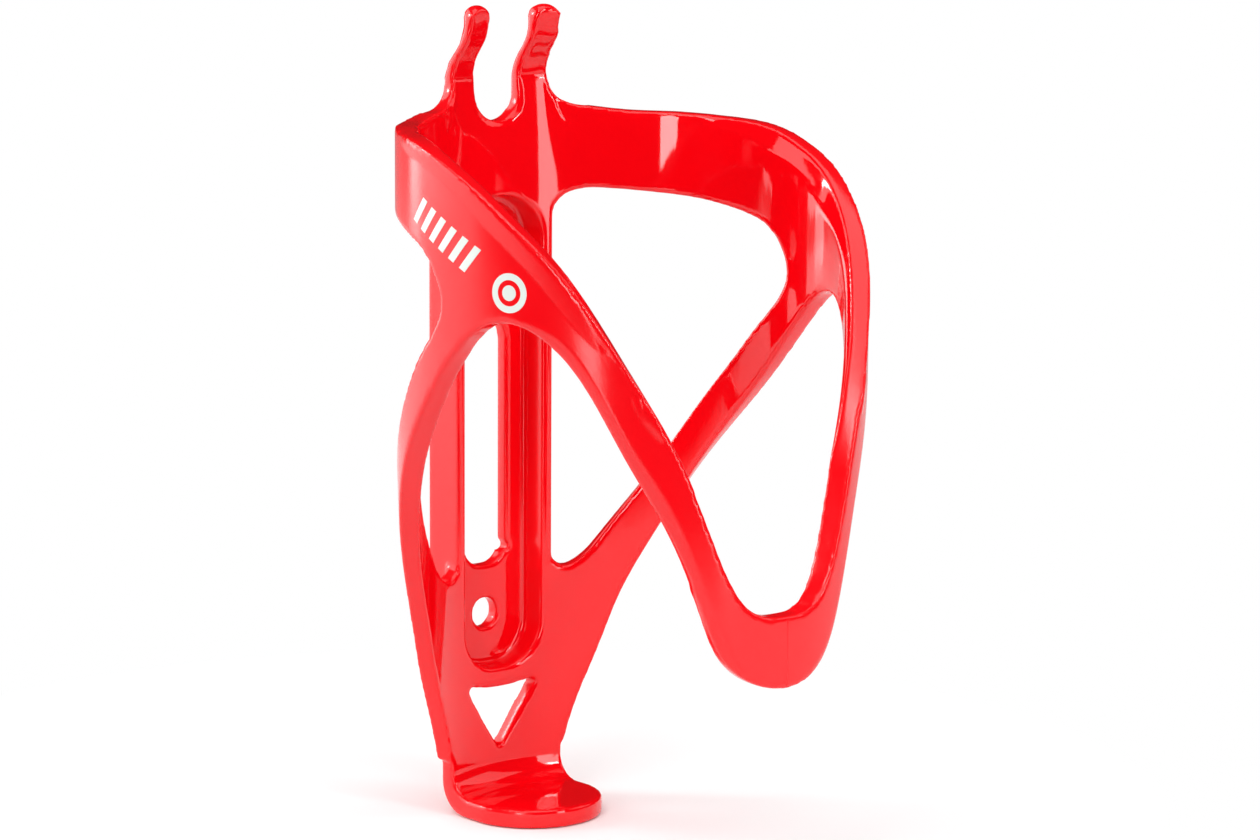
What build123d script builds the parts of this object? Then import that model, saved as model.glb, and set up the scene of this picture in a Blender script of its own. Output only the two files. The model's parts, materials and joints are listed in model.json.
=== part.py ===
"""Bottle cage for a bicycle frame: a moulded rail that bolts to the frame, two arms that wrap the
bottle and meet in a loop at the front, a leg under each arm, two sprung tabs above and a shelf below.

Frame: the origin lies on the mounting face, midway between the bolt holes. +Y points out of that
face towards the bicycle frame, +Z runs up the bottle and -X is the left hand side. The bottle's axis
is the vertical line at Y = -seat_to_mount. Angles are measured round that axis from the rail, and
count positive towards the left. Everything right of the middle plane is a mirror image.
"""
from build123d import *
from math import asin, cos, degrees, hypot, radians, sin, tan
import os

# driving dimensions, mm
bottle_radius = 37.0
arm_wall = 4.2
leg_wall = 3.3
leg_thickens_from = -22.0
leg_thickens_to = 9.0

hole_spacing = 64.0
hole_diameter = 5.6
slot_width = 9.4
slot_length = 46.0
slot_corner = 4.0
nick_radius = 0.9
nick_height = -20.0

rail_width = 22.0
rail_floor = 3.0
behind_web = 0.4
rail_side = 2.1
below_hole = 9.6
above_hole = 13.7
recess_end_flat = 0.9
rail_end_wall = 2.4
rail_end_bevel = 2.0

web_angle = 28.0
web_top = 61.6
web_lean_start = 52.0
web_lean = 1.8
shoulder_reach = 2.6
shoulder_rise = 0.9
shoulder_slope = 0.08
window_corner_top = 46.6
window_straight_top = 41.0
window_cover = 0.3
junction_start = 76.0
junction_end = 114.0
junction_split = 30.0
loop_angle = 25.0

tab_inner = 4.9
tab_outer = 11.1
tab_base = 67.0
tab_top = 80.5
tab_curl_height = 3.2
tab_curl = 0.5
tab_nose_wall = 2.3
tab_lean = 4.6
tab_tip_width = 5.3
tab_tip_middle = 7.65
notch_bottom = 59.3

triangle_half_width = 8.7
triangle_gap = 2.2
triangle_sag = 1.5
triangle_corner = 0.8

shelf_top = -63.5
shelf_root_height = 6.5
shelf_thickness = 3.5
shelf_half_width = 12.9
shelf_reach = 22.2
shelf_inner_bend = 4.5
shelf_outer_bend = 6.0
shelf_core = 8.0
shelf_sweep = 90.0

# how far the cutting shapes reach past what they cut, and their least slope
cutter_margin = 2.0
cutter_reach = 9.0
inner_reach = 8.0
least_lean = 0.02
least_rise = 0.5

arm_outer = bottle_radius + arm_wall
seat_to_mount = arm_outer + behind_web + rail_floor
bottle_axis = Axis((0, -seat_to_mount, 0), (0, 0, 1))
leg_outer = bottle_radius + leg_wall
outer_reach = arm_outer + cutter_reach
through = 2 * seat_to_mount
rail_half = rail_width / 2
rail_angle = degrees(asin((rail_half - window_cover) / arm_outer))
recess_half = rail_half - rail_side
recess_corner = recess_half - recess_end_flat
recess_bottom = -hole_spacing / 2 - below_hole
recess_top = hole_spacing / 2 + above_hole
recess_low_straight = recess_bottom + recess_corner
recess_high_straight = recess_top - recess_corner
rail_low = recess_bottom - rail_end_wall
rail_high = recess_top + rail_end_wall
shelf_bottom = shelf_top - shelf_thickness
shelf_root = shelf_top + shelf_root_height
triangle_top = recess_bottom - triangle_gap
web_front = bottle_radius + web_lean
tab_nose = tab_top - tab_curl_height

# the side view, as (angle round the bottle, height)
arm_top_edge = [
    (18, 62.7), (web_angle, web_top), (38, 60.8), (52, 60.5), (66, 59.9), (80, 58.6), (90, 56.1),
    (100, 52.6), (110, 47.5), (120, 41.5), (130, 33.0), (140, 22.3), (150, 10.5), (158, -2.5),
]
lower_edge = [
    (158, -19.0), (150, -5.4), (140, 6.5), (130, 18.8), (121, 26.6), (112, 30.1), (104, 29.7),
    (96, 25.9), (80, 13.2), (60, -3.8), (45, -19.8), (36, -31.0), (30, -41.0), (24, shelf_root + 6.5),
    (20, shelf_root - 3), (19, shelf_root - 7),
]
window_edge = [
    (rail_angle, window_straight_top), (rail_angle + 2, 44.6), (rail_angle + 6, 46.2),
    (web_angle, window_corner_top), (45, 45.8), (60, 44.7), (72, 42.9), (80, 40.9), (86, 36.9),
    (88.4, 32.2), (85, 27.6), (78, 22.5), (70, 16.0), (60, 7.5), (45, -6.5), (31, -18.6),
    (rail_angle + 10, -22.6), (rail_angle + 6, -23.6), (rail_angle + 3, -22.6), (rail_angle, -19.0),
]
# Near its edges the arm's wall slopes. Each row is (angle round the bottle, height of the crease,
# height of the edge, how far the face has moved at the edge).
# outside, the rim of the mouth flares out
rim_flare = [
    (50, 60.6, 60.6, 0.0), (66, 58.3, 59.9, 0.2), (84, 54.7, 57.8, 0.4), (99, 48.8, 53.0, 0.5),
    (109.4, 42.8, 47.8, 0.5), (119.5, 35.8, 41.9, 0.5), (129.6, 27.7, 33.4, 0.4),
    (137, 21.6, 25.9, 0.2), (148, 12.9, 12.9, 0.0),
]
# inside, the mouth opens out to lead the bottle in
mouth_slope = [
    (58, 60.3, 60.3, 0.0), (70, 57.4, 59.8, 0.6), (80, 54.8, 58.6, 1.0), (90, 52.2, 56.1, 1.3),
    (98, 48.9, 53.3, 1.4), (106, 44.6, 49.4, 1.4), (114, 41.1, 45.2, 1.3), (122, 36.2, 40.1, 1.2),
    (131, 28.6, 32.0, 1.2), (140, 19.3, 22.3, 1.1), (148, 10.9, 12.9, 0.7), (154, 4.6, 4.6, 0.0),
]
# outside, the lower edge of the front arm and the loop is bevelled
lower_bevel = [
    (junction_end, 30.4, 30.4, 0.0), (122, 28.3, 26.0, 0.6), (130, 21.9, 18.8, 1.0),
    (140, 10.1, 6.5, 1.2), (150, -1.8, -5.4, 1.2), (155, -10.2, -13.8, 1.2), (160, -19.0, -22.4, 1.1),
    (164, -24.4, -27.0, 0.9), (169, -28.2, -29.7, 0.5), (175, -31.3, -31.3, 0.0),
]
# inside, the web between the tabs leans back
web_slope = [
    (angle, web_lean_start, tab_base, share * web_lean)
    for angle, share in [
        (-web_angle, 0.0), (-23, 0.2), (-18, 0.8), (-12, 1.0), (0, 1.0),
        (12, 1.0), (18, 0.8), (23, 0.2), (web_angle, 0.0),
    ]
]
# the front view of the loop, as (angle from the front, height)
loop_top_edge = [(28, 7.3), (loop_angle, 2.6), (20, -6.2), (15, -13.8), (10, -17.8), (5, -19.1)]
loop_middle_top = -19.3
loop_bottom_edge = [
    (28, -10.5), (loop_angle, -13.8), (20, -22.4), (16, -27.0), (11, -29.7), (5, -31.3),
]
loop_middle_bottom = -31.7
over_arms = tab_base + cutter_margin
under_arms = loop_middle_bottom - cutter_margin

os.makedirs("parts", exist_ok=True)


def wall(profile, start, end):
    """Sweeps a profile of (radius, height) points round the bottle from one angle to another."""
    with BuildSketch(upright_plane(start)) as section:
        with BuildLine():
            Polyline(*profile, close=True)
        make_face()
    revolve(section.sketch, axis=bottle_axis, revolution_arc=end - start)


def flat_wall(outer, low, high):
    """The profile of a wall of even thickness on the bottle."""
    return [(bottle_radius, low), (outer, low), (outer, high), (bottle_radius, high)]


def spacing(edge):
    """How far along the edge each of its points lies, from 0 to 1."""
    lengths = [0]
    for (angle, height), (next_angle, next_height) in zip(edge, edge[1:]):
        step = hypot(radians(next_angle - angle) * bottle_radius, next_height - height)
        lengths.append(lengths[-1] + step)
    return [length / lengths[-1] for length in lengths]


def side_curve(reach, edge):
    """An edge carried straight out from the bottle's axis to the plane X = -reach."""
    points = [(reach / tan(radians(angle)), height) for angle, height in edge]
    return add(Edge.make_spline(points, parameters=spacing(edge))).edge()


def side_plane(reach):
    return Plane((-reach, -seat_to_mount, 0), x_dir=(0, 1, 0), z_dir=(1, 0, 0))


def trim_to_side_view():
    """Keeps what lies inside the side view's outline. Its edges stand square to the wall."""
    outlines = []
    for reach in (inner_reach, outer_reach):
        with BuildSketch(side_plane(reach)) as outline:
            with BuildLine():
                top = side_curve(reach, arm_top_edge)
                bottom = side_curve(reach, lower_edge)
                Line(top @ 1, bottom @ 0)
                behind = reach / tan(radians(rail_angle / 2))
                Polyline(bottom @ 1, (behind, lower_edge[-1][1]), (behind, arm_top_edge[0][1]), top @ 0)
            make_face()
        outlines.append(outline.sketch.face())
    loft(outlines, ruled=True, mode=Mode.INTERSECT)


def upright_plane(angle):
    """The plane through the bottle's axis at an angle: its x is the radius and its y the height."""
    across = Vector(-sin(radians(angle)), cos(radians(angle)), 0)
    along = Vector(cos(radians(angle)), sin(radians(angle)), 0)
    return Plane((0, -seat_to_mount, 0), x_dir=across, z_dir=along)


def slope_edge(rows, face, out):
    """Cuts a sloping face into the wall, from a crease to the edge above or below it. out is 1 for
    the wall's outside and -1 for its inside."""
    sections = []
    for angle, crease, edge, depth in rows:
        rise = max(abs(edge - crease), least_rise)
        way = -1 if edge < crease else 1
        slope = max(depth, least_lean) / rise
        start_height = crease - way * cutter_margin
        end_height = edge + way * cutter_margin
        end_face = face - out * slope * abs(end_height - crease)
        clear = face + out * cutter_margin
        with BuildSketch(upright_plane(angle)) as section:
            with BuildLine():
                Polyline(
                    (face + out * slope * cutter_margin, start_height), (end_face, end_height),
                    (clear, end_height), (clear, start_height), close=True)
            make_face()
        sections.append(section.sketch.face())
    loft(sections, mode=Mode.SUBTRACT)


def arm_wall_section(low, high, start, end):
    """A length of the arm: its wall with the mouth's flared rim, trimmed to the side view."""
    wall(flat_wall(arm_outer + cutter_margin, low, high), start, end)
    add(arm_outside.part, mode=Mode.SUBTRACT)
    trim_to_side_view()
    slope_edge(mouth_slope, bottle_radius, -1)


def cut_window():
    """Cuts the opening between the rail, the arm and the leg."""
    outlines = []
    for reach in (inner_reach, outer_reach):
        with BuildSketch(side_plane(reach)) as outline:
            with BuildLine():
                edge = side_curve(reach, window_edge)
                Line(edge @ 1, edge @ 0)
            make_face()
        outlines.append(outline.sketch.face())
    loft(outlines, ruled=True, mode=Mode.SUBTRACT)


def front_plane(reach):
    return Plane((0, reach - seat_to_mount, 0), x_dir=(1, 0, 0), z_dir=(0, -1, 0))


def front_curve(reach, edge, middle):
    """An edge of the front view, from one side to the other, carried out to the plane at reach."""
    whole = edge + [(0, middle)] + [(-angle, height) for angle, height in reversed(edge)]
    points = [(reach * tan(radians(angle)), height) for angle, height in whole]
    return add(Edge.make_spline(points, parameters=spacing(whole))).edge()


def column(left, right, low, high):
    """An upright block between the bottle and the rail's floor."""
    with BuildSketch(Plane((0, -seat_to_mount, low))) as section:
        depth = seat_to_mount - rail_floor
        with Locations(((left + right) / 2, depth / 2)):
            Rectangle(right - left, depth)
        Circle(bottle_radius, mode=Mode.SUBTRACT)
    extrude(section.sketch, amount=high - low)


def cut_recess():
    """Cuts the hollow in front of the rail's floor, with its rounded ends."""
    with BuildSketch(Plane.XZ.offset(rail_floor)) as hollow:
        with Locations((0, (recess_bottom + recess_top) / 2)):
            RectangleRounded(2 * recess_half, recess_top - recess_bottom, recess_corner)
    extrude(hollow.sketch, amount=seat_to_mount, mode=Mode.SUBTRACT)


def save(piece, name):
    piece.part.label = name
    export_step(piece.part, f"parts/{name}.step")


def save_pair(piece, name):
    """Writes a left hand piece and its mirror image."""
    piece.part.label = f"left_{name}"
    export_step(piece.part, f"parts/left_{name}.step")
    twin = mirror(piece.part, about=Plane.YZ)
    twin.label = f"right_{name}"
    export_step(twin, f"parts/right_{name}.step")


# what lies outside the arms, up to the flare of the mouth's rim
with BuildPart() as arm_outside:
    clear_radius = arm_outer + 2 * cutter_margin
    wall(
        [
            (arm_outer, under_arms), (clear_radius, under_arms),
            (clear_radius, over_arms), (arm_outer, over_arms),
        ],
        rail_angle, 180,
    )
    slope_edge(rim_flare, arm_outer, -1)

with BuildPart() as rear_band:
    arm_wall_section(junction_split, over_arms, web_angle, junction_start)
    cut_window()
save_pair(rear_band, "rear_band")

with BuildPart() as leg:
    wall(
        [
            (bottle_radius, shelf_root), (leg_outer, shelf_root), (leg_outer, leg_thickens_from),
            (arm_outer, leg_thickens_to), (arm_outer, junction_split), (bottle_radius, junction_split),
        ],
        rail_angle / 2, junction_start,
    )
    trim_to_side_view()
    cut_window()
    with BuildSketch(Plane.XY.offset(shelf_root)) as middle_band:
        Rectangle(rail_width, 2 * through)
    extrude(middle_band.sketch, amount=over_arms - shelf_root, mode=Mode.SUBTRACT)
save_pair(leg, "leg")

with BuildPart() as junction:
    arm_wall_section(under_arms, over_arms, junction_start, junction_end)
    cut_window()
save_pair(junction, "arm_junction")

with BuildPart() as front_arm:
    arm_wall_section(under_arms, over_arms, junction_end, 180 - loop_angle)
    slope_edge(lower_bevel, arm_outer, 1)
save_pair(front_arm, "front_arm")

with BuildPart() as front_loop:
    wall(flat_wall(arm_outer, under_arms, junction_split), 180 - loop_angle, 180 + loop_angle)
    outlines = []
    for reach in (bottle_radius / 2, outer_reach):
        with BuildSketch(front_plane(-reach)) as outline:
            with BuildLine():
                top = front_curve(reach, loop_top_edge, loop_middle_top)
                bottom = front_curve(reach, loop_bottom_edge, loop_middle_bottom)
                Line(top @ 0, bottom @ 0)
                Line(top @ 1, bottom @ 1)
            make_face()
        outlines.append(outline.sketch.face())
    loft(outlines, ruled=True, mode=Mode.INTERSECT)
    slope_edge(lower_bevel, arm_outer, 1)
    slope_edge([(360 - angle, *heights) for angle, *heights in lower_bevel], arm_outer, 1)
save(front_loop, "front_loop")

with BuildPart() as rail_plate:
    with BuildSketch(Plane.XZ):
        with Locations((0, (rail_low + rail_high) / 2)):
            Rectangle(rail_width, rail_high - rail_low)
        with Locations((0, -hole_spacing / 2), (0, hole_spacing / 2)):
            Circle(hole_diameter / 2, mode=Mode.SUBTRACT)
        RectangleRounded(slot_width, slot_length, slot_corner, mode=Mode.SUBTRACT)
        with Locations((slot_width / 2, nick_height)):
            Circle(nick_radius, mode=Mode.SUBTRACT)
    extrude(amount=rail_floor)
    back_edges = rail_plate.edges().filter_by(Axis.X).group_by(Axis.Y)[-1].sort_by(Axis.Z)
    chamfer((back_edges[0], back_edges[-1]), rail_end_bevel)
save(rail_plate, "rail_plate")

with BuildPart() as rail_wall:
    column(-rail_half, -recess_half, recess_low_straight, recess_high_straight)
save_pair(rail_wall, "rail_wall")

with BuildPart() as upper_web:
    wall(flat_wall(arm_outer, recess_high_straight, tab_base), -web_angle, web_angle)
    slope_edge(web_slope, bottle_radius, -1)
    column(-rail_half, rail_half, recess_high_straight, rail_high)
    with BuildSketch(Plane.XZ) as outline:
        with BuildLine():
            tab_corner = (tab_outer, tab_base)
            web_side = bottle_radius * sin(radians(web_angle)) + cutter_margin
            web_corner = (web_side, web_top - cutter_margin * shoulder_slope)
            shoulder = Spline(
                tab_corner, (tab_outer + shoulder_reach, web_top + shoulder_rise), web_corner,
                tangents=((0, -1), (1, -shoulder_slope)))
            window_side = (rail_half, window_straight_top)
            window_roof = (web_side, window_corner_top)
            corner = Spline(window_side, window_roof, tangents=((0, 1), (1, 0)))
            Line(shoulder @ 1, corner @ 1)
            Line(corner @ 0, (rail_half, recess_high_straight))
            Line((rail_half, recess_high_straight), (0, recess_high_straight))
            Line((0, tab_base), tab_corner)
            mirror(about=Plane.YZ)
        make_face()
    extrude(outline.sketch, amount=through, mode=Mode.INTERSECT)
    with BuildSketch(Plane.XZ) as notch:
        with Locations((0, notch_bottom + tab_inner)):
            Circle(tab_inner)
            Rectangle(2 * tab_inner, tab_top - notch_bottom, align=(Align.CENTER, Align.MIN))
    extrude(notch.sketch, amount=through, mode=Mode.SUBTRACT)
    cut_recess()
save(upper_web, "upper_web")

with BuildPart() as tab:
    with BuildSketch(upright_plane(0)) as section:
        with BuildLine():
            nose_front = (web_front - tab_lean, tab_nose)
            nose_back = (nose_front[0] + tab_nose_wall, tab_nose)
            curl_end = (nose_back[0] + tab_curl, tab_top - tab_nose_wall / 2)
            crown = ((nose_front[0] + curl_end[0]) / 2, tab_top)
            root_front = (web_front, tab_base)
            root_back = (arm_outer, tab_base)
            Spline(root_front, nose_front, tangents=((0, 1), (0, 1)))
            ThreePointArc(nose_front, crown, curl_end)
            Line(curl_end, nose_back)
            Spline(root_back, nose_back, tangents=((0, 1), (0, 1)))
            Line(root_front, root_back)
        make_face()
    revolve(section.sketch, axis=bottle_axis, revolution_arc=web_angle)
    with BuildSketch(Plane.XZ) as outline:
        with BuildLine():
            tip_inner = (-tab_tip_middle + tab_tip_width / 2, tab_top - tab_tip_width / 2)
            tip_outer = (-tab_tip_middle - tab_tip_width / 2, tab_top - tab_tip_width / 2)
            Line((-tab_inner, tab_base), tip_inner)
            ThreePointArc(tip_inner, (-tab_tip_middle, tab_top), tip_outer)
            Polyline(tip_outer, (-tab_outer, tab_base), (-tab_inner, tab_base))
        make_face()
    extrude(outline.sketch, amount=through, mode=Mode.INTERSECT)
save_pair(tab, "tab")

with BuildPart() as lower_web:
    wall(flat_wall(leg_outer, shelf_root, recess_low_straight), -web_angle, web_angle)
    with BuildSketch(Plane.XY.offset(shelf_root)) as middle_band:
        Rectangle(rail_width, 2 * through)
    extrude(middle_band.sketch, amount=over_arms - shelf_root, mode=Mode.INTERSECT)
    column(-rail_half, rail_half, rail_low, recess_low_straight)
    cut_recess()
    with BuildSketch(Plane.XZ) as triangle:
        with BuildLine():
            left = (-triangle_half_width, triangle_top)
            right = (triangle_half_width, triangle_top)
            ThreePointArc(left, (0, triangle_top - triangle_sag), right)
            Polyline(right, (0, shelf_root), left)
        make_face()
        fillet(triangle.vertices(), triangle_corner)
    extrude(triangle.sketch, amount=through, mode=Mode.SUBTRACT)
save(lower_web, "lower_web")

with BuildPart() as shelf:
    with BuildSketch(upright_plane(-shelf_sweep / 2)) as profile:
        with BuildLine():
            inner_corner = (bottle_radius, shelf_top)
            outer_corner = (leg_outer, shelf_bottom)
            Polyline(
                (shelf_core, shelf_top), inner_corner, (bottle_radius, shelf_root),
                (leg_outer, shelf_root), outer_corner, (shelf_core, shelf_bottom), close=True)
        make_face()
        fillet(profile.vertices().sort_by_distance(inner_corner)[0], shelf_inner_bend)
        fillet(profile.vertices().sort_by_distance(outer_corner)[0], shelf_outer_bend)
    revolve(profile.sketch, axis=bottle_axis, revolution_arc=shelf_sweep)
    with BuildSketch(Plane((0, -seat_to_mount, shelf_bottom))) as tongue:
        front_centre = bottle_radius - shelf_reach + shelf_half_width
        with Locations((0, front_centre)):
            Circle(shelf_half_width)
        with Locations((0, front_centre + seat_to_mount / 2)):
            Rectangle(2 * shelf_half_width, seat_to_mount)
    extrude(tongue.sketch, amount=shelf_root - shelf_bottom, mode=Mode.INTERSECT)
save(shelf, "bottle_shelf")
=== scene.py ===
import json
import math

import bpy
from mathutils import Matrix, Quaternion, Vector


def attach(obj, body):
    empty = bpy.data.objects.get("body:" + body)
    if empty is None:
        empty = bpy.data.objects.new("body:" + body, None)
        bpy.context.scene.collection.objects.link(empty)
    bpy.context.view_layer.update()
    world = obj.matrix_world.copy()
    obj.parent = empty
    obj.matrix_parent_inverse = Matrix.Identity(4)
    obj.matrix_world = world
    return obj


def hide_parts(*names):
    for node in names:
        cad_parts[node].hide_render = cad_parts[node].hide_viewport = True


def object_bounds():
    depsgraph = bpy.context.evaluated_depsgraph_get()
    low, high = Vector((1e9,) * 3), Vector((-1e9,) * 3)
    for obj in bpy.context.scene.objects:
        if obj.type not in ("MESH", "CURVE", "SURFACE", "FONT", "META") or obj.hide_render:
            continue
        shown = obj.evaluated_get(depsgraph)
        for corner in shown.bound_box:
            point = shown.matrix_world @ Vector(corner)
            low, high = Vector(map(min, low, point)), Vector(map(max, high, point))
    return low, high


# A bottle cage moulded in one piece. The bottle stands upright in front of the mounting face (-Y),
# and angles round it are counted from the rail.

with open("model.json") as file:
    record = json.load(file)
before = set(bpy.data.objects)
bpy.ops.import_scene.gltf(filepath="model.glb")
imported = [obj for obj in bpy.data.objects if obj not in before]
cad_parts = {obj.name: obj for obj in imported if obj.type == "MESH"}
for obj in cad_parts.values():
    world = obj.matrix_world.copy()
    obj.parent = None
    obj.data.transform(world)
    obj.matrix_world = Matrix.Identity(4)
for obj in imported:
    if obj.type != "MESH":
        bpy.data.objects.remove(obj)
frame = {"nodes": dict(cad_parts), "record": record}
cad_low, cad_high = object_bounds()
mounts = {mount["name"]: mount for mount in frame["record"]["mounts"]}
bottle_axis_y = mounts["bottle_seat"]["pos_m"][1]

MM = 0.001

# walls of the moulding
bottle_radius = 37.0 * MM
arm_outer = 41.2 * MM
leg_outer = 40.3 * MM
leg_thickens_from = -22.0 * MM
leg_thickens_to = 9.0 * MM
leg_top = 30.0 * MM
leg_widest_angle = 95.0
web_lean = 1.8 * MM
web_lean_from = 47.0 * MM
web_fade = 12.0
web_fade_end = 26.0
tab_base = 67.0 * MM
tab_reach = 12.0 * MM
loop_bottom = -31.7 * MM
loop_top = -19.3 * MM
shelf_height = 12.0 * MM

# surface finishing
weld_distance = 0.001 * MM
voxel = 0.36 * MM
edge_softening = 15
tab_softening = 24
last_softening = 3
most_triangles = 195000
wall_reach = 0.16 * MM
web_reach = 0.3 * MM
wall_facing = 0.9965
web_facing = 0.985
profile_spread = 1.1 * MM
profile_step = 0.25 * MM
profile_reach = 0.3 * MM

# print on the left shoulder, placed by the distance round the wall from the rail and the height
ink_lift = 0.05 * MM
ink_thickness = 0.1 * MM
print_start = (57.4 * MM, 47.6 * MM)
print_turn = math.radians(-26.8)
bar_count = 6
bar_width = 1.5 * MM
bar_slant = 1.5 * MM
bar_height = 5.2 * MM
bar_spacing = 3.1 * MM
roundel_round = 79.4 * MM
roundel_height = 35.5 * MM
dot_radius = 1.3 * MM
ring_radius = 3.3 * MM
ring_opening = 0.66

# studio
lamp_distance = 0.9
room_light = 0.38
room_in_gloss = 0.02
paper_white = 1.0


def linear(hex_colour):
    """An sRGB hex colour as the linear values that a shader takes."""
    channels = [int(hex_colour[i:i + 2], 16) / 255 for i in (1, 3, 5)]
    return [c / 12.92 if c <= 0.04045 else ((c + 0.055) / 1.055) ** 2.4 for c in channels] + [1.0]


def add_node(tree, kind, settings=None, **links):
    """Adds a node, sets its fields or sockets, and joins the named sockets to others."""
    node = tree.nodes.new(kind)
    for name, value in (settings or {}).items():
        if name in node.inputs:
            node.inputs[name].default_value = value
        else:
            setattr(node, name, value)
    for name, source in links.items():
        numbered = name[1:].isdigit()
        socket = node.inputs[int(name[1:])] if numbered else node.inputs[name.replace("_", " ")]
        tree.links.new(source, socket)
    return node


def new_material(name):
    """An empty material, as the material and its node tree."""
    material = bpy.data.materials.new(name)
    material.use_nodes = True
    material.node_tree.nodes.clear()
    return material, material.node_tree


def noise(tree, place, size_mm, detail):
    """Noise whose marks are about this size."""
    settings = {"Scale": 1 / (size_mm * MM), "Detail": detail}
    return add_node(tree, "ShaderNodeTexNoise", settings, Vector=place).outputs["Fac"]


def blend_colours(tree, first, second, share):
    """A colour between two others."""
    tone = add_node(tree, "ShaderNodeMix", {"data_type": "RGBA"})
    tone.inputs[6].default_value = linear(first)
    tone.inputs[7].default_value = linear(second)
    tree.links.new(share, tone.inputs[0])
    return tone.outputs[2]


def bump(tree, depth_mm, **links):
    """Relief of this depth."""
    settings = {"Strength": 1.0, "Distance": depth_mm * MM}
    return add_node(tree, "ShaderNodeBump", settings, **links).outputs["Normal"]


def mix_shaders(tree, share, first, second):
    """The first shader where the share is 0 and the second where it is 1."""
    return add_node(tree, "ShaderNodeMixShader", Fac=share, i1=first, i2=second).outputs[0]


def plastic(name, colour, dark_colour, roughness, grain_mm, grain_depth_mm, wave_mm, wave_depth_mm):
    """Red moulded polypropylene. The grain is the mould's own texture, and the wave is the slight sink
    of a thick wall as it cools, which bends reflections."""
    material, tree = new_material(name)
    place = add_node(tree, "ShaderNodeTexCoord").outputs["Object"]
    flow = noise(tree, place, 14, 2.0)
    grain = noise(tree, place, grain_mm, 2.0)
    wave = noise(tree, place, wave_mm, 1.0)
    evenness = {"From Min": 0.3, "From Max": 0.7, "To Min": roughness * 0.88, "To Max": roughness * 1.12}
    sheen = add_node(tree, "ShaderNodeMapRange", evenness, Value=flow).outputs["Result"]
    ripple = bump(tree, wave_depth_mm, Height=wave)
    shader = add_node(
        tree, "ShaderNodeBsdfPrincipled", {"IOR": 1.5},
        Base_Color=blend_colours(tree, dark_colour, colour, flow),
        Roughness=sheen,
        Normal=bump(tree, grain_depth_mm, Height=grain, Normal=ripple))
    add_node(tree, "ShaderNodeOutputMaterial", Surface=shader.outputs["BSDF"])
    return material


def ink(name, colour, thin_colour):
    """Pad printing ink: a thin white that covers a little less in places."""
    material, tree = new_material(name)
    place = add_node(tree, "ShaderNodeTexCoord").outputs["Object"]
    cover = noise(tree, place, 5, 3.0)
    grain = noise(tree, place, 0.2, 2.0)
    shader = add_node(
        tree, "ShaderNodeBsdfPrincipled", {"Roughness": 0.38, "IOR": 1.5},
        Base_Color=blend_colours(tree, thin_colour, colour, cover),
        Normal=bump(tree, 0.008, Height=grain))
    add_node(tree, "ShaderNodeOutputMaterial", Surface=shader.outputs["BSDF"])
    return material


def only(thing):
    """Selects one object and makes it active."""
    bpy.ops.object.select_all(action="DESELECT")
    thing.select_set(True)
    bpy.context.view_layer.objects.active = thing


def finish_with(thing, kind, **settings):
    """Adds a modifier and applies it."""
    only(thing)
    modifier = thing.modifiers.new(kind.title(), kind)
    for name, value in settings.items():
        setattr(modifier, name, value)
    bpy.ops.object.modifier_apply(modifier=modifier.name)


def join(things, name):
    """Joins objects into the first of them."""
    bpy.ops.object.select_all(action="DESELECT")
    for thing in things:
        thing.select_set(True)
    bpy.context.view_layer.objects.active = things[0]
    bpy.ops.object.join()
    things[0].name = name
    return things[0]


def join_members():
    """Copies every member of the cage and joins the copies into one moulding."""
    copies = []
    for name, member in sorted(frame["nodes"].items()):
        copy = bpy.data.objects.new(f"copy_of_{name}", member.data.copy())
        bpy.context.scene.collection.objects.link(copy)
        copies.append(copy)
    whole = join(copies, "cage_moulding")
    bpy.ops.object.mode_set(mode="EDIT")
    bpy.ops.mesh.select_all(action="SELECT")
    bpy.ops.mesh.remove_doubles(threshold=weld_distance)
    bpy.ops.object.mode_set(mode="OBJECT")
    return whole


def points_and_normals(thing):
    """A copy of each point and its normal, since moving a point changes the normals round it."""
    return [(vertex.co.copy(), vertex.normal.copy()) for vertex in thing.data.vertices]


def soften_above(thing, height, iterations):
    """Rounds over what stands above a height, such as the tips of the tabs."""
    group = thing.vertex_groups.new(name="above")
    group.add([v.index for v in thing.data.vertices if v.co.z > height], 1.0, "REPLACE")
    finish_with(thing, "SMOOTH", factor=0.5, iterations=iterations, vertex_group="above")


def inner_wall(angle, z):
    """The bottle side's radius, and how far off and how well turned to it a point of it may be.
    The web between the tabs leans back in a curve that fades out to the sides."""
    if angle >= web_fade_end or z <= web_lean_from:
        return bottle_radius, wall_reach, wall_facing
    share = min((web_fade_end - angle) / web_fade, 1.0)
    rise = (z - web_lean_from) / (tab_base - web_lean_from)
    lean = web_lean * share * share * (3 - 2 * share) * rise * rise
    return bottle_radius + lean, web_reach, web_facing


def outer_wall(angle, z):
    """The same for the outside, where the legs are thinner than the arms that they grow into."""
    if angle >= leg_widest_angle or z >= leg_top:
        return arm_outer, wall_reach, wall_facing
    share = (z - leg_thickens_from) / (leg_thickens_to - leg_thickens_from)
    return leg_outer + (arm_outer - leg_outer) * min(max(share, 0.0), 1.0), wall_reach, wall_facing


def true_round_walls(thing):
    """Brings the points that lie nearly on a round wall exactly onto it, so that its gloss is clean."""
    placed = []
    for point, normal in points_and_normals(thing):
        x, y = point.x, point.y - bottle_axis_y
        radius = math.hypot(x, y)
        facing = abs(normal.x * x + normal.y * y) / radius
        angle = math.degrees(abs(math.atan2(x, y)))
        for wall in (inner_wall, outer_wall):
            true_radius, reach, least_facing = wall(angle, point.z)
            if facing > least_facing and abs(radius - true_radius) < reach:
                point.x = x * true_radius / radius
                point.y = y * true_radius / radius + bottle_axis_y
        placed.extend(point)
    thing.data.vertices.foreach_set("co", placed)
    thing.data.update()


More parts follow.
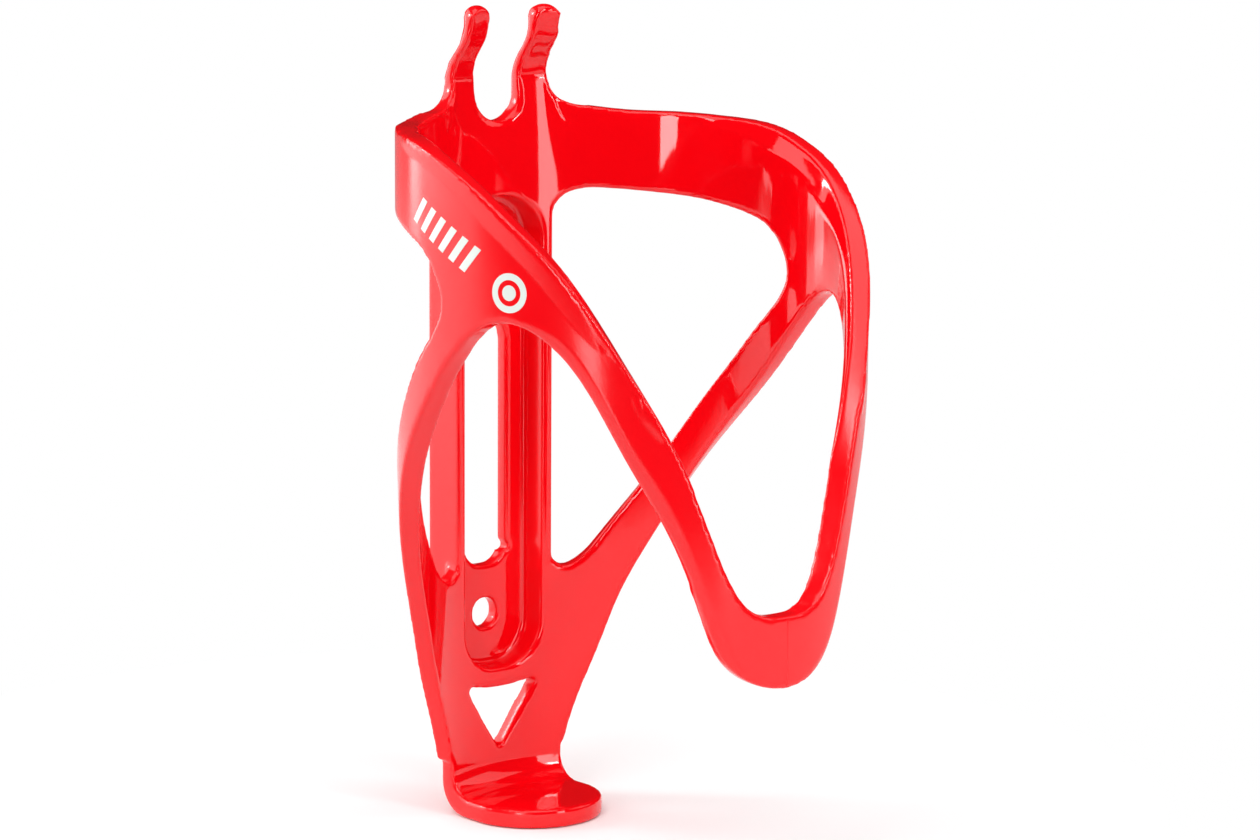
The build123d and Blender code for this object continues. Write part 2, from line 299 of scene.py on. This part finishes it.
def tab_points(thing, side):
    """The points of the tabs' inner (-1) or outer (1) faces, as (index, height, radius)."""
    found = []
    for index, (point, normal) in enumerate(points_and_normals(thing)):
        if point.z < tab_base + 0.1 * MM or abs(point.x) > tab_reach or point.y < bottle_axis_y:
            continue
        x, y = point.x, point.y - bottle_axis_y
        radius = math.hypot(x, y)
        if side * (normal.x * x + normal.y * y) / radius > 0.8 and abs(normal.z) < 0.55:
            found.append((index, point.z, radius))
    return found


def flowing_radius(found, height):
    """The radius at a height on the line that best follows the points near it."""
    total = first = second = sums = sloped = 0.0
    for _, z, radius in found:
        away = z - height
        weight = math.exp(-0.5 * (away / profile_spread) ** 2)
        total += weight
        first += weight * away
        second += weight * away * away
        sums += weight * radius
        sloped += weight * away * radius
    return (sums * second - sloped * first) / (total * second - first * first)


def even_tab_faces(thing, side):
    """Turns the tabs' inner or outer faces to one flowing profile, so that their gloss has no steps."""
    found = tab_points(thing, side)
    profile = []
    height = tab_base
    while height < cad_high.z:
        profile.append(flowing_radius(found, height))
        height += profile_step
    for index, z, radius in found:
        place = (z - tab_base) / profile_step
        low_step = min(int(place), len(profile) - 2)
        wanted = profile[low_step] + (profile[low_step + 1] - profile[low_step]) * (place - low_step)
        if abs(wanted - radius) < profile_reach:
            point = thing.data.vertices[index].co
            point.x *= wanted / radius
            point.y = bottle_axis_y + (point.y - bottle_axis_y) * wanted / radius
    thing.data.update()


def is_polished(face):
    """Whether a face belongs to the polished side: all that faces the bottle, and the shelf's top."""
    x, y = face.center.x, face.center.y - bottle_axis_y
    radius = math.hypot(x, y)
    inward = -(face.normal.x * x + face.normal.y * y) / radius
    on_shelf = face.center.z < cad_low.z + shelf_height and face.normal.z > 0.6
    return (inward > 0.45 and radius < bottle_radius + 6 * MM) or on_shelf


# fine spark-eroded mould texture: a soft, even sheen outside
satin = plastic("satin_red_polypropylene", "#EE0814", "#E6040F", roughness=0.17,
                grain_mm=0.35, grain_depth_mm=0.010, wave_mm=9.0, wave_depth_mm=0.01)
# polished mould core: sharp reflections inside
gloss = plastic("polished_red_polypropylene", "#EE0410", "#E6020C", roughness=0.05,
                grain_mm=2.0, grain_depth_mm=0.001, wave_mm=12.0, wave_depth_mm=0.03)

# the moulding: the members as one skin, with softened edges and true round walls
cage = join_members()
finish_with(cage, "REMESH", mode="VOXEL", voxel_size=voxel, adaptivity=0.0)
finish_with(cage, "SMOOTH", factor=0.5, iterations=edge_softening)
soften_above(cage, tab_base + 0.5 * MM, tab_softening)
true_round_walls(cage)
for side in (-1, 1):
    even_tab_faces(cage, side)
finish_with(cage, "SMOOTH", factor=0.5, iterations=last_softening)
triangles = sum(len(face.vertices) - 2 for face in cage.data.polygons)
finish_with(cage, "DECIMATE", ratio=min(1.0, most_triangles / triangles))

cage.data.materials.clear()
cage.data.materials.append(satin)
cage.data.materials.append(gloss)
for face in cage.data.polygons:
    if is_polished(face):
        face.material_index = 1
only(cage)
bpy.ops.object.shade_smooth()
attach(cage, "root")
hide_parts(*sorted(frame["nodes"]))

# the fine raised line where the mould's halves part, down the middle of the loop's outside
bpy.ops.object.select_all(action="DESELECT")
bpy.ops.mesh.primitive_cube_add(
    size=1, location=(0, bottle_axis_y - arm_outer + 0.08 * MM, (loop_top + loop_bottom) / 2))
ridge = bpy.context.object
ridge.name = "parting_line"
ridge.scale = (0.24 * MM, 0.3 * MM, loop_top - loop_bottom - 0.7 * MM)
bpy.ops.object.transform_apply(location=True, rotation=True, scale=True)
finish_with(ridge, "BEVEL", width=0.07 * MM, segments=3)
bpy.ops.object.shade_smooth()
ridge.data.materials.append(satin)
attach(ridge, "root")


def lay_on_shoulder(mark, middle_round, middle_height, turn):
    """Wraps a flat mark onto the outside of the left shoulder, about its middle."""
    lifted = arm_outer + ink_lift
    for vertex in mark.data.vertices:
        across, up = vertex.co.x, vertex.co.y
        round_wall = middle_round + across * math.cos(turn) - up * math.sin(turn)
        height = middle_height + across * math.sin(turn) + up * math.cos(turn)
        angle = round_wall / arm_outer
        vertex.co = (-lifted * math.sin(angle), bottle_axis_y + lifted * math.cos(angle), height)
    mark.data.update()


def slanted_bar(place_in_row):
    """One bar of the printed row, which slopes down towards the front."""
    bpy.ops.object.select_all(action="DESELECT")
    bpy.ops.mesh.primitive_grid_add(x_subdivisions=6, y_subdivisions=10, size=1)
    bar = bpy.context.object
    for vertex in bar.data.vertices:
        vertex.co.x = bar_width * vertex.co.x + bar_slant * vertex.co.y
        vertex.co.y = bar_height * vertex.co.y
    along = bar_spacing * place_in_row
    lay_on_shoulder(bar, print_start[0] + along * math.cos(print_turn),
                    print_start[1] + along * math.sin(print_turn), print_turn)
    return bar


def dot():
    """The middle of the printed roundel."""
    bpy.ops.object.select_all(action="DESELECT")
    bpy.ops.mesh.primitive_circle_add(vertices=48, radius=dot_radius, fill_type="TRIFAN")
    disc = bpy.context.object
    lay_on_shoulder(disc, roundel_round, roundel_height, 0.0)
    return disc


def ring():
    """The band round the dot."""
    bpy.ops.object.select_all(action="DESELECT")
    bpy.ops.mesh.primitive_circle_add(vertices=72, radius=ring_radius, fill_type="NOTHING")
    band = bpy.context.object
    bpy.ops.object.mode_set(mode="EDIT")
    bpy.ops.mesh.select_all(action="SELECT")
    bpy.ops.mesh.extrude_region_move()
    bpy.ops.transform.resize(value=(ring_opening, ring_opening, 1))
    bpy.ops.object.mode_set(mode="OBJECT")
    lay_on_shoulder(band, roundel_round, roundel_height, 0.0)
    return band


# the plain printed row and roundel
marks = [slanted_bar(place_in_row) for place_in_row in range(bar_count)] + [dot(), ring()]
print_marks = join(marks, "shoulder_print")
only(print_marks)
bpy.ops.object.transform_apply(location=True, rotation=True, scale=True)
bpy.ops.object.mode_set(mode="EDIT")
bpy.ops.mesh.select_all(action="SELECT")
bpy.ops.mesh.normals_make_consistent(inside=False)
bpy.ops.object.mode_set(mode="OBJECT")
if sum(face.normal.x for face in print_marks.data.polygons) > 0:
    print_marks.data.flip_normals()
finish_with(print_marks, "SOLIDIFY", thickness=ink_thickness, offset=-1.0)
bpy.ops.object.shade_flat()
print_marks.data.materials.append(ink("white_print_ink", "#DFE5E0", "#D2DAD4"))
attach(print_marks, "root")

# the floor: white paper under and behind the cage, and a dark studio floor with a sheen in front of
# it. A camera sees both as white away from the cage, and the cage's shadow close to it.
bpy.ops.object.select_all(action="DESELECT")
bpy.ops.mesh.primitive_plane_add(size=24.0, location=(0, 0, cad_low.z - 0.05 * MM))
floor = bpy.context.object
floor.name = "floor"
paper, tree = new_material("white_paper")
place = add_node(tree, "ShaderNodeTexCoord").outputs["Object"]
rays = add_node(tree, "ShaderNodeLightPath")
lit = add_node(tree, "ShaderNodeBsdfDiffuse", {"Color": linear("#F2F2F2")})
dark = add_node(tree, "ShaderNodeBsdfPrincipled", {"Base Color": linear("#181818"), "Roughness": 0.12})
white = add_node(tree, "ShaderNodeEmission", {"Strength": paper_white})
forward_of_cage = add_node(tree, "ShaderNodeVectorMath", {"operation": "DOT_PRODUCT"}, i0=place)
forward_of_cage.inputs[1].default_value = (-0.64, -0.77, 0)
in_front = add_node(tree, "ShaderNodeMapRange", {"From Min": 0.26, "From Max": 0.34},
                    Value=forward_of_cage.outputs["Value"])
away = add_node(tree, "ShaderNodeVectorMath", {"operation": "LENGTH"}, i0=place)
far = add_node(tree, "ShaderNodeMapRange", {"From Min": 0.05, "From Max": 0.13},
               Value=away.outputs["Value"])
seen = add_node(tree, "ShaderNodeMath", {"operation": "MULTIPLY"},
                i0=far.outputs["Result"], i1=rays.outputs["Is Camera Ray"])
ground = mix_shaders(tree, in_front.outputs["Result"], lit.outputs[0], dark.outputs[0])
surface = mix_shaders(tree, seen.outputs[0], ground, white.outputs[0])
add_node(tree, "ShaderNodeOutputMaterial", Surface=surface)
floor.data.materials.append(paper)

# the room: a camera sees it as plain white, and gloss sees it dark between the lamps
world = bpy.data.worlds.new("studio")
bpy.context.scene.world = world
world.use_nodes = True
tree = world.node_tree
tree.nodes.clear()
rays = add_node(tree, "ShaderNodeLightPath")
room = add_node(tree, "ShaderNodeBackground", {"Strength": room_light})
dark_room = add_node(tree, "ShaderNodeBackground", {"Strength": room_in_gloss})
backdrop = add_node(tree, "ShaderNodeBackground", {"Strength": paper_white})
unseen = mix_shaders(tree, rays.outputs["Is Glossy Ray"], room.outputs[0], dark_room.outputs[0])
mixed = mix_shaders(tree, rays.outputs["Is Camera Ray"], unseen, backdrop.outputs[0])
add_node(tree, "ShaderNodeOutputWorld", Surface=mixed)

middle = (cad_low + cad_high) / 2


def softbox(name, azimuth, elevation, width, height, brightness):
    """A flat lamp that faces the object. Azimuth 0 is straight in front, positive to the right."""
    lamp = bpy.data.lights.new(name, "AREA")
    lamp.shape = "RECTANGLE"
    lamp.size = width
    lamp.size_y = height
    lamp.energy = brightness * math.pi * width * height
    holder = bpy.data.objects.new(name, lamp)
    bpy.context.scene.collection.objects.link(holder)
    a, e = math.radians(azimuth), math.radians(elevation)
    out = Vector((math.sin(a) * math.cos(e), -math.cos(a) * math.cos(e), math.sin(e)))
    holder.location = middle + out * lamp_distance
    holder.rotation_euler = out.to_track_quat("Z", "Y").to_euler()
    holder.visible_camera = False


# name, azimuth and elevation in degrees, width and height in metres, brightness
softbox("wide_left_softbox", -146, 18, 1.0, 0.7, 2.3)
softbox("rear_left_strip", -167, 2, 0.16, 0.3, 2.0)
softbox("rear_left_lamp", -141, 24, 0.13, 0.13, 26.0)
softbox("left_strip", -60, 3, 0.15, 0.45, 10.0)
softbox("high_left_lamp", -68, 46, 0.3, 0.2, 6.0)
softbox("front_strip", 9, 10, 0.18, 0.9, 5.6)
softbox("front_lamp", 10, 31, 0.1, 0.12, 24.0)
softbox("right_softbox", 66, 32, 0.5, 0.5, 1.2)
softbox("top_softbox", -40, 76, 1.0, 1.0, 1.9)

# the camera: to the front left, a little above, looking at the middle of the cage
target = Vector((0, bottle_axis_y, 9.1 * MM))
camera_azimuth = math.radians(40.12)
camera_elevation = math.radians(8.64)
camera_distance = 0.64667
camera_roll = math.radians(0.38)
forward = Vector((math.sin(camera_azimuth) * math.cos(camera_elevation),
                  math.cos(camera_azimuth) * math.cos(camera_elevation),
                  -math.sin(camera_elevation)))
camera_data = bpy.data.cameras.new("camera")
camera_data.lens = 105.52
camera_data.sensor_width = 36.0
camera_data.shift_x = -0.00112
camera_data.clip_start = 0.01
camera_data.clip_end = 50
camera = bpy.data.objects.new("camera", camera_data)
bpy.context.scene.collection.objects.link(camera)
camera.location = target - forward * camera_distance
camera.rotation_mode = "QUATERNION"
camera.rotation_quaternion = forward.to_track_quat("-Z", "Y") @ Quaternion((0, 0, 1), camera_roll)
bpy.context.scene.camera = camera
bpy.context.scene.view_settings.view_transform = "Standard"
